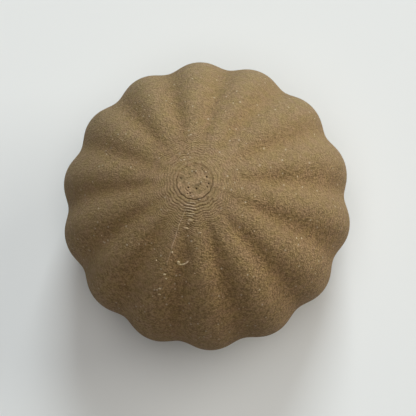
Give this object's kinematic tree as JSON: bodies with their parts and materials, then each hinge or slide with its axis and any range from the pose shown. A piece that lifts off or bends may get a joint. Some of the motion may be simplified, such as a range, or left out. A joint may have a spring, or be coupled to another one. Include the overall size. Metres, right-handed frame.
{
  "type": "fluted wall knob",
  "caption": "Round fluted dome knob in printed wood-filled plastic, with a flat back, a brass threaded insert and a hanger bolt that fixes it to a wall.",
  "frame": {"origin": "centre of the flat back face, where the hanger bolt crosses the face of the wall", "axes": "+Z along the knob's axis, out of the wall towards the top of the dome; +Y up the wall; +X to the right as seen from the front"},
  "size_m": [0.0726, 0.0734, 0.0762],
  "materials": {
    "printed_wood_fill": "matte wood-filled printing filament, fine layer lines and pale specks",
    "insert_brass": "turned and knurled, bright",
    "bolt_zinc_steel": "bright zinc plate"
  },
  "bodies": {
    "root": {"knob_body": "printed_wood_fill", "threaded_insert": "insert_brass", "hanger_bolt": "bolt_zinc_steel"}
  },
  "joints": []
}
